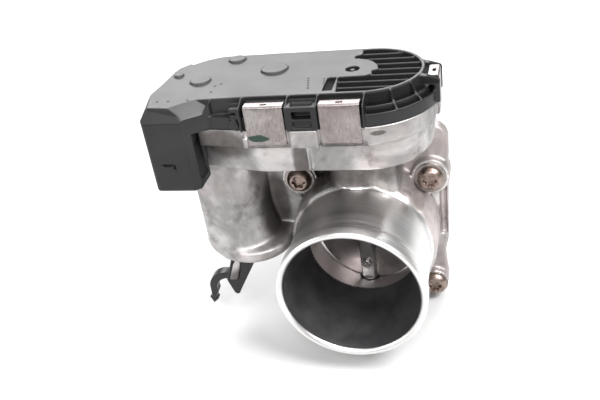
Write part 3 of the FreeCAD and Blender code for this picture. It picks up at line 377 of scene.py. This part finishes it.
def plain_steel(name, base, rough, stain_amount):
    """Steel with dark stains, brighter edges and uneven polish."""
    s = Shader(name)
    stain = s.ranged(s.noise(330, 5, 0.65), 0.45, 0.68)
    colour = s.tinted(base, shade(base, 0.42), stain, stain_amount)
    colour = s.tinted(colour, shade(base, 1.35, 0.92), s.edges(0.53, 0.60), 0.5)
    polish = s.ranged(s.noise(700, 3), 0.3, 0.7, rough, rough + 0.14)
    s.set(Base_Color=colour, Metallic=1.0, Roughness=polish)
    s.bumps((s.noise(1900, 3), 0.16, 0.00005))
    return s.material


def butterfly_metal():
    """Plate faces, skimmed flat, with the warm film that an engine leaves."""
    s = Shader("plate_aluminium")
    lines = s.noise(1.0, 2, 0.6, s.scaled(60, 60, 2200))
    film = s.ranged(s.noise(70, 4, 0.6), 0.36, 0.66)
    colour = s.blend(film, (0.30, 0.265, 0.262), (0.46, 0.385, 0.375))
    rough = s.ranged(lines, 0.3, 0.7, 0.28, 0.40)
    s.set(Base_Color=colour, Metallic=0.9, Roughness=rough)
    s.bumps((lines, 0.10, 0.00006))
    return s.material


def moulded(name, base, rough):
    """Plain moulded or pressed stock used inside: tinted grain and light edge wear."""
    s = Shader(name)
    tone = s.ranged(s.noise(120, 4), 0.35, 0.68)
    colour = s.blend(tone, shade(base, 0.86), base)
    colour = s.tinted(colour, shade(base, 1.3, 0.9), s.edges(0.54, 0.62), 0.3)
    finish = s.ranged(s.noise(300, 3), 0.3, 0.7, rough - 0.06, rough + 0.06)
    s.set(Base_Color=colour, Roughness=finish)
    s.bumps((s.noise(1200, 3), 0.14, 0.0001))
    return s.material


def brass():
    """Brass of the terminals, bushes, commutator and pinion, with a cloudy tone."""
    s = Shader("tinned_brass")
    tone = s.ranged(s.noise(220, 4), 0.35, 0.68)
    colour = s.blend(tone, (0.62, 0.48, 0.24), (0.78, 0.64, 0.36))
    rough = s.ranged(s.noise(500, 3), 0.3, 0.7, 0.24, 0.38)
    s.set(Base_Color=colour, Metallic=1.0, Roughness=rough)
    s.bumps((s.noise(1500, 2), 0.12, 0.00005))
    return s.material


# Steels: (colour, roughness, how strongly they are stained)
STEELS = {
    "screw_steel": ((0.30, 0.235, 0.205), 0.26, 0.8),
    "plate_screw_steel": ((0.62, 0.58, 0.57), 0.24, 0.35),
    "washer_steel": ((0.36, 0.32, 0.30), 0.30, 0.7),
    "shaft_steel": ((0.34, 0.32, 0.315), 0.30, 0.10),
    "bearing_steel": ((0.66, 0.66, 0.67), 0.18, 0.2),
    "spring_steel": ((0.42, 0.42, 0.44), 0.28, 0.3),
    "can_steel": ((0.62, 0.61, 0.58), 0.32, 0.3),
    "core_iron": ((0.34, 0.31, 0.29), 0.40, 0.5),
}

# Moulded or pressed stock: (colour, roughness)
MOULDED = {
    "seal_rubber": ((0.022, 0.022, 0.023), 0.72),
    "board_plastic": ((0.030, 0.110, 0.055), 0.42),
    "gear_plastic": ((0.74, 0.70, 0.60), 0.40),
    "magnet_ferrite": ((0.055, 0.055, 0.058), 0.55),
}

MATERIALS = {
    "cast_aluminium": cast_metal(),
    "turned_aluminium": turned_metal(),
    "milled_aluminium": milled_metal(),
    "intake_wall": painted_shade_bore(),
    # The cover's pale colour is painted light on its top
    "cover_plastic": filled_plastic("cover_plastic", (0.006, 0.006, 0.0064), (0.012, 0.012, 0.0128),
                                    0.40, pale=(0.040, 0.0395, 0.040)),
    "black_plastic": filled_plastic("black_plastic", (0.006, 0.006, 0.006), (0.012, 0.0115, 0.011), 0.28),
    "clip_steel": sheet_steel(),
    "plate_aluminium": butterfly_metal(),
    "terminal_brass": brass(),
}
MATERIALS.update({name: plain_steel(name, *values) for name, values in STEELS.items()})
MATERIALS.update({name: moulded(name, *values) for name, values in MOULDED.items()})


# ---------------------------------------------------------------- mesh helpers

def coordinates(mesh):
    points = np.zeros(len(mesh.vertices) * 3, np.float32)
    mesh.vertices.foreach_get("co", points)
    return points.reshape(-1, 3).astype(np.float64)


def move_points(mesh, points):
    mesh.vertices.foreach_set("co", points.astype(np.float32).ravel())
    mesh.update()


def face_centres(mesh):
    centres = np.zeros(len(mesh.polygons) * 3, np.float32)
    mesh.polygons.foreach_get("center", centres)
    return centres.reshape(-1, 3).astype(np.float64)


def drop_faces(mesh, doomed):
    work = bmesh.new()
    work.from_mesh(mesh)
    work.faces.ensure_lookup_table()
    bmesh.ops.delete(work, geom=[work.faces[i] for i in np.flatnonzero(doomed)], context="FACES")
    work.to_mesh(mesh)
    work.free()


def above(low):
    return low, math.inf


def below(high):
    return -math.inf, high


def within(points, **limits):
    """Which points lie between (low, high) limits along x, y or z, or out from the bore's axis."""
    measures = dict(zip("xyz", points.T), radius=np.hypot(points[:, 0], points[:, 2]))
    inside = np.ones(len(points), bool)
    for name, (low, high) in limits.items():
        inside &= (measures[name] > low) & (measures[name] < high)
    return inside


def near_bolts(points, reach):
    close = np.zeros(len(points), bool)
    for x, z in BOLTS:
        close |= np.hypot(points[:, 0] - x, points[:, 2] - z) < reach
    return close


def remeshed(node, voxel):
    """Even, closed copy of a CAD node's surface."""
    source = NODES[node]
    copy = bpy.data.objects.new("remesh_source", source.data.copy())
    bpy.context.scene.collection.objects.link(copy)
    modifier = copy.modifiers.new("even", "REMESH")
    modifier.mode = "VOXEL"
    modifier.voxel_size = voxel
    graph = bpy.context.evaluated_depsgraph_get()
    mesh = bpy.data.meshes.new_from_object(copy.evaluated_get(graph))
    bpy.data.objects.remove(copy)
    return mesh


def softened(mesh, passes, weigh=None):
    """Rounds edges and hollows by averaging each vertex with its neighbours.

    weigh gives each vertex a weight of 0 to 1. Without it, all move fully.
    """
    points = coordinates(mesh)
    edges = np.zeros(len(mesh.edges) * 2, np.int32)
    mesh.edges.foreach_get("vertices", edges)
    first, second = edges.reshape(-1, 2).T
    count = len(points)
    valence = np.bincount(first, minlength=count) + np.bincount(second, minlength=count)
    amount = 0.5 * (weigh(points) if weigh else np.ones(count))
    for _ in range(passes):
        for axis in range(3):
            column = points[:, axis]
            total = np.bincount(first, column[second], count) + np.bincount(second, column[first], count)
            points[:, axis] = column + amount * (total / np.maximum(valence, 1) - column)
    move_points(mesh, points)
    return points


def shown(mesh, name, node, materials):
    """Puts the skin in place of its CAD node, on the same body."""
    piece = bpy.data.objects.new(name, mesh)
    bpy.context.scene.collection.objects.link(piece)
    mesh.materials.clear()
    for material in materials:
        mesh.materials.append(MATERIALS[material])
    mesh.polygons.foreach_set("use_smooth", [True] * len(mesh.polygons))
    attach(piece, NODES[node]["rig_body"])
    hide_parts(node)
    return piece


# ---------------------------------------------------------------- spigot

SPIGOT_MATERIALS = ["turned_aluminium", "intake_wall"]
TURNED, WALL = 0, 1
LONGEST_STEP = 3.0 * MM
SPIGOT_SIDES = 360


def spigot_outline():
    """(radius, y) points along the barrel, over the lip and the rim, and down the intake taper."""
    barrel = SPIGOT_R + 0.04 * MM
    outer = [(barrel, SPIGOT_END_Y + 0.3 * MM), (barrel, LIP_END_Y + 2.1 * MM)]
    shoulder = [
        (SPIGOT_R + 0.12 * MM, LIP_END_Y + 1.7 * MM),
        (SPIGOT_R + 0.45 * MM, LIP_END_Y + 1.1 * MM),
        (LIP_R - 0.25 * MM, LIP_END_Y + 0.35 * MM),
        (LIP_R - 0.05 * MM, LIP_END_Y),
        (LIP_R, LIP_END_Y - 0.35 * MM),
    ]
    rim = [
        (LIP_R, MOUTH_Y + 1.1 * MM),
        (LIP_R - 0.10 * MM, MOUTH_Y + 0.7 * MM),
        (LIP_R - 0.55 * MM, MOUTH_Y + 0.12 * MM),
        (LIP_R - 0.9 * MM, MOUTH_Y),
        (MOUTH_R + 1.35 * MM, MOUTH_Y),
        (MOUTH_R + 1.05 * MM, MOUTH_Y + 0.12 * MM),
        (MOUTH_R + 0.15 * MM, MOUTH_Y + 1.05 * MM),
        (MOUTH_R - 0.12 * MM, MOUTH_Y + 1.6 * MM),
    ]
    taper = [(BORE_R + 0.42 * MM, TAPER_END_Y - 4.0 * MM), (BORE_R - 0.02 * MM, TAPER_END_Y)]
    return outer + shoulder + rim + taper


def divided(outline):
    """The outline with its runs cut into steps short enough to shade evenly."""
    fine = []
    for (r0, y0), (r1, y1) in zip(outline, outline[1:]):
        steps = max(1, int(abs(y1 - y0) / LONGEST_STEP))
        fine += [(r0 + (r1 - r0) * k / steps, y0 + (y1 - y0) * k / steps) for k in range(steps)]
    return fine + [outline[-1]]


def spigot_piece():
    """Barrel, lip, rim and intake taper, turned about the air bore."""
    rings = divided(spigot_outline())
    angles = np.linspace(0, 2 * math.pi, SPIGOT_SIDES, endpoint=False)
    points = [(r * math.sin(a), y, r * math.cos(a)) for r, y in rings for a in angles]
    faces, kinds = [], []
    for index, (radius, y) in enumerate(rings[:-1]):
        kind = WALL if y > MOUTH_Y + 1.4 * MM and radius < MOUTH_R + 0.05 * MM else TURNED
        here, there = index * SPIGOT_SIDES, (index + 1) * SPIGOT_SIDES
        for k in range(SPIGOT_SIDES):
            n = (k + 1) % SPIGOT_SIDES
            faces.append((here + k, here + n, there + n, there + k))
            kinds.append(kind)
    mesh = bpy.data.meshes.new("spigot_turning")
    mesh.from_pydata(points, [], faces)
    mesh.update()
    shown(mesh, "spigot_turning", "throttle_housing", SPIGOT_MATERIALS)
    mesh.polygons.foreach_set("material_index", kinds)


# ---------------------------------------------------------------- housing

HOUSING_VOXEL = 0.60 * MM
HOUSING_MATERIALS = ["cast_aluminium", "turned_aluminium", "milled_aluminium"]
CAST, BRIGHT, MILLED = 0, 1, 2
EDGE_PASSES = 8
HOLLOW_PASSES = 50
FACE_BAND = 0.5 * MM

# Hollows round the neck, the webs and the foot, which a casting fills generously
HOLLOWS = [
    dict(radius=above(38.6 * MM), y=(-40 * MM, -10 * MM), z=(24 * MM, 60 * MM)),
    dict(x=(-56 * MM, -40 * MM), y=(-44 * MM, -2 * MM), z=(-2 * MM, 56 * MM)),
    dict(x=below(-48 * MM), y=below(-30 * MM), z=(-4 * MM, 24 * MM)),
    dict(x=below(-62 * MM), y=below(-28 * MM), z=(-12 * MM, 0.0)),
]


def housing_weight(points):
    """How far each vertex may be smoothed: cast skin freely, machined faces hardly or not at all."""
    spigot = within(points, radius=below(38 * MM), y=below(SPIGOT_END_Y + 0.6 * MM))
    bore = within(points, radius=below(BORE_R + 1.0 * MM), y=below(FACE_BAND))
    flange = within(points, y=above(FLANGE_Y - 0.8 * MM))
    joint = within(points, z=above(JOINT_Z - 1.2 * MM))
    clip_seats = within(points, y=below(-49 * MM), z=above(69 * MM))
    bosses = near_bolts(points, BOSS_R) & within(points, y=(BOSS_FACE_Y - 2.5 * MM, BOSS_FACE_Y + 1.5 * MM))
    weight = np.ones(len(points))
    weight[spigot | bore | flange] = 0.0
    weight[joint] = 0.15
    weight[clip_seats] = 0.18
    weight[bosses] = 0.12
    return weight


def hollow_weight(points):
    """1 in the hollows and 0 elsewhere, and 0 near the bolts."""
    inside = np.any([within(points, **limits) for limits in HOLLOWS], axis=0)
    return (inside & ~near_bolts(points, BOSS_R + 0.5 * MM)).astype(float)


def snap_round(points, target, low, high):
    """Moves vertices close to a turned surface of the given radius exactly onto it."""
    radius = np.hypot(points[:, 0], points[:, 2])
    close = (np.abs(radius - target) < 0.7 * HOUSING_VOXEL) & within(points, y=(low, high))
    scale = np.where(close, target / np.maximum(radius, 1e-6), 1.0)
    points[:, 0] *= scale
    points[:, 2] *= scale


def behind_spigot(centres):
    """Faces of the housing's skin that the turned spigot stands for."""
    barrel = within(centres, radius=below(38.2 * MM), y=below(SPIGOT_END_Y - 0.3 * MM))
    taper = within(centres, radius=below(33.5 * MM), y=below(TAPER_END_Y - 0.5 * MM))
    return barrel | taper


def housing_kinds(centres):
    """Which of HOUSING_MATERIALS each face has."""
    bore = within(centres, radius=below(BORE_R + 0.5 * MM), y=above(TAPER_END_Y - 1.0 * MM))
    flange = within(centres, radius=below(62 * MM), y=(FLANGE_Y - FACE_BAND, FLANGE_Y + FACE_BAND))
    spot_faces = near_bolts(centres, 9.2 * MM)
    spot_faces &= within(centres, y=(BOSS_FACE_Y - FACE_BAND, BOSS_FACE_Y + FACE_BAND))
    spigot_root = within(centres, radius=below(37.4 * MM), y=below(SPIGOT_END_Y + 1.6 * MM))
    joint = within(centres, z=above(JOINT_Z - 0.4 * MM))
    kinds = np.full(len(centres), CAST, np.int32)
    kinds[bore] = BRIGHT
    kinds[flange] = MILLED
    kinds[spot_faces | spigot_root] = BRIGHT
    kinds[joint] = MILLED
    return kinds


def housing_skin():
    mesh = remeshed("throttle_housing", HOUSING_VOXEL)
    softened(mesh, EDGE_PASSES, housing_weight)
    points = softened(mesh, HOLLOW_PASSES, hollow_weight)
    snap_round(points, SPIGOT_R, -60 * MM, SPIGOT_END_Y - 0.2 * MM)
    snap_round(points, BORE_R, TAPER_END_Y + 0.5 * MM, FLANGE_Y - 0.5 * MM)
    snap_round(points, BODY_R, SPIGOT_END_Y + 5.0 * MM, BOSS_FACE_Y - 0.5 * MM)
    move_points(mesh, points)
    drop_faces(mesh, behind_spigot(face_centres(mesh)))
    kinds = housing_kinds(face_centres(mesh))
    shown(mesh, "housing_skin", "throttle_housing", HOUSING_MATERIALS)
    mesh.polygons.foreach_set("material_index", kinds)


# ---------------------------------------------------------------- other skins

# The two wide clips, seen from the front
CLIP_MIDDLES_X = (-35.6 * MM, 0.0)
CLIP_HALF_WIDTH = 9.5 * MM
CLIP_FACE_Z = (71.5 * MM, 92.5 * MM)
CLIP_FADE = 3.0 * MM
CLIP_BOW = 0.32 * MM

# Mould marks in the cover's top: round pits, flat in the middle, at (x, y) places in mm
MARK_DEPTH = 0.50 * MM
MARK_FLAT_R = 0.21 * MM
MARK_R = 0.63 * MM
LONE_MARKS = [(-64.7, -33.0), (-64.5, -40.1), (-62.2, -30.8), (-89.0, -49.4), (-83.3, -49.4), (-73.6, -49.1)]
# Straight rows of marks: (first, step to the next), each of MARKS_IN_ROW
MARK_ROWS = [((-18.7, -28.9), (0.575, -2.85)), ((-10.7, -29.8), (0.525, -2.825))]
MARKS_IN_ROW = 5


def bowed_clips(points):
    """The front faces of the two wide clips belly outwards slightly between their edges."""
    x, y, z = points.T
    low, high = CLIP_FACE_Z
    rise = np.clip((z - low) / CLIP_FADE, 0, 1) * np.clip((high - z) / CLIP_FADE, 0, 1)
    for middle in CLIP_MIDDLES_X:
        along = (x - middle) / CLIP_HALF_WIDTH
        face = (np.abs(along) < 1.01) & (y < CLIP_FACE_Y)
        y -= np.where(face, CLIP_BOW * (1 - along ** 2) * rise, 0.0)
    return points


def sunk_marks(points):
    """Brings back the small mould marks in the cover's top, which the smoothing fills."""
    marks = list(LONE_MARKS)
    for step in range(MARKS_IN_ROW):
        marks += [(x + dx * step, y + dy * step) for (x, y), (dx, dy) in MARK_ROWS]
    for x, y in marks:
        away = np.hypot(points[:, 0] - x * MM, points[:, 1] - y * MM)
        slope = np.clip((MARK_R - away) / (MARK_R - MARK_FLAT_R), 0, 1)
        top = points[:, 2] > COVER_TOP_Z - 0.7 * MM
        points[:, 2] -= np.where(top, MARK_DEPTH * slope, 0.0)
    return points


# Skins for the pieces that can be seen: (voxel in mm, smoothing passes, material, record slot)
SKINS = {
    "gear_cover": (0.36, 2, "cover_plastic", "cover_plastic"),
    "cover_clips": (0.20, 2, "clip_steel", "clip_steel"),
    "flange_screws": (0.22, 2, "screw_steel", "screw_steel"),
    "flange_washers": (0.22, 1, "washer_steel", "clip_steel"),
    "harness_clip": (0.30, 5, "black_plastic", "black_plastic"),
    "plate_screws": (0.14, 2, "plate_screw_steel", "screw_steel"),
}
RESHAPED = {"cover_clips": bowed_clips, "gear_cover": sunk_marks}


def simple_skin(node, voxel, passes, material):
    mesh = remeshed(node, voxel)
    points = softened(mesh, passes)
    if node in RESHAPED:
        move_points(mesh, RESHAPED[node](points))
    shown(mesh, node + "_skin", node, [material])


def paint_nodes():
    """Every other CAD node keeps its shape, with its material and slightly broken edges."""
    for entry in frame["record"]["subparts"]:
        if entry["node"] in SKINS or entry["node"] == "throttle_housing":
            continue
        node = NODES[entry["node"]]
        node.data.materials.clear()
        node.data.materials.append(MATERIALS[entry["material_slot"]])
        edges = node.modifiers.new("broken_edges", "BEVEL")
        edges.width = BROKEN_EDGE
        edges.segments = 2
        edges.limit_method = "ANGLE"
        edges.angle_limit = SHARP_ANGLE
        edges.use_clamp_overlap = True
        edges.harden_normals = False


# ---------------------------------------------------------------- stage

FLOOR_SIZE = 6.0
FLOOR_GAP = 0.3 * MM
FLOOR_GREY = 0.56
WORLD_STRENGTH = 0.38

# Softboxes, all aimed at one point: (place, width and height in metres, watts)
LIGHTS_AIM = (-0.02, -0.02, 0.03)
LIGHTS = {
    "back_box": ((-0.15, 0.92, 0.78), (1.5, 0.55), 19.0),
    "right_box": ((0.56, -0.36, 0.82), (0.40, 0.40), 15.0),
    "left_box": ((-0.95, -0.50, 0.50), (0.5, 0.7), 5.0),
    "front_box": ((-0.05, -0.90, 0.80), (0.7, 0.40), 7.0),
    "top_box": ((0.0, 0.0, 1.30), (0.8, 0.8), 7.0),
}

SENSOR_WIDTH = 36.0
LENS_LENGTH = 45.75
SHIFT_Y = 0.05
CAMERA_PLACE = (0.06838, -0.36294, 0.23086)
CAMERA_RIGHT = Vector((0.96863992, 0.20907372, -0.13425679))
CAMERA_DOWN = Vector((0.00477036, -0.55588554, -0.83124515))
CAMERA_AHEAD = Vector((-0.24842293, 0.80453679, -0.53945028))


def floor():
    bpy.ops.mesh.primitive_plane_add(size=FLOOR_SIZE, location=(0, 0, cad_box[0].z - FLOOR_GAP))
    plane = bpy.context.object
    plane.name = "floor"
    s = Shader("pale_floor")
    s.set(Base_Color=(FLOOR_GREY, FLOOR_GREY, FLOOR_GREY, 1.0), Roughness=0.7)
    plane.data.materials.append(s.material)


def lights():
    for name, (place, (width, height), power) in LIGHTS.items():
        data = bpy.data.lights.new(name, "AREA")
        data.shape = "RECTANGLE"
        data.size = width
        data.size_y = height
        data.energy = power
        lamp = bpy.data.objects.new(name, data)
        lamp.location = place
        lamp.rotation_euler = (Vector(LIGHTS_AIM) - Vector(place)).to_track_quat("-Z", "Y").to_euler()
        bpy.context.scene.collection.objects.link(lamp)
    world = bpy.data.worlds.new("studio")
    bpy.context.scene.world = world
    world.use_nodes = True
    background = world.node_tree.nodes["Background"]
    background.inputs["Color"].default_value = (1.0, 1.0, 1.0, 1.0)
    background.inputs["Strength"].default_value = WORLD_STRENGTH


def camera():
    data = bpy.data.cameras.new("camera")
    data.sensor_width = SENSOR_WIDTH
    data.lens = LENS_LENGTH
    data.shift_y = SHIFT_Y
    lens = bpy.data.objects.new("camera", data)
    turn = Matrix((CAMERA_RIGHT, -CAMERA_DOWN, -CAMERA_AHEAD)).transposed()
    lens.matrix_world = Matrix.Translation(CAMERA_PLACE) @ turn.to_4x4()
    bpy.context.scene.collection.objects.link(lens)
    bpy.context.scene.camera = lens
    bpy.context.scene.view_settings.view_transform = "Standard"


housing_skin()
spigot_piece()
for node, (voxel, passes, material, record_slot) in SKINS.items():
    simple_skin(node, voxel * MM, passes, material)
paint_nodes()
floor()
lights()
camera()
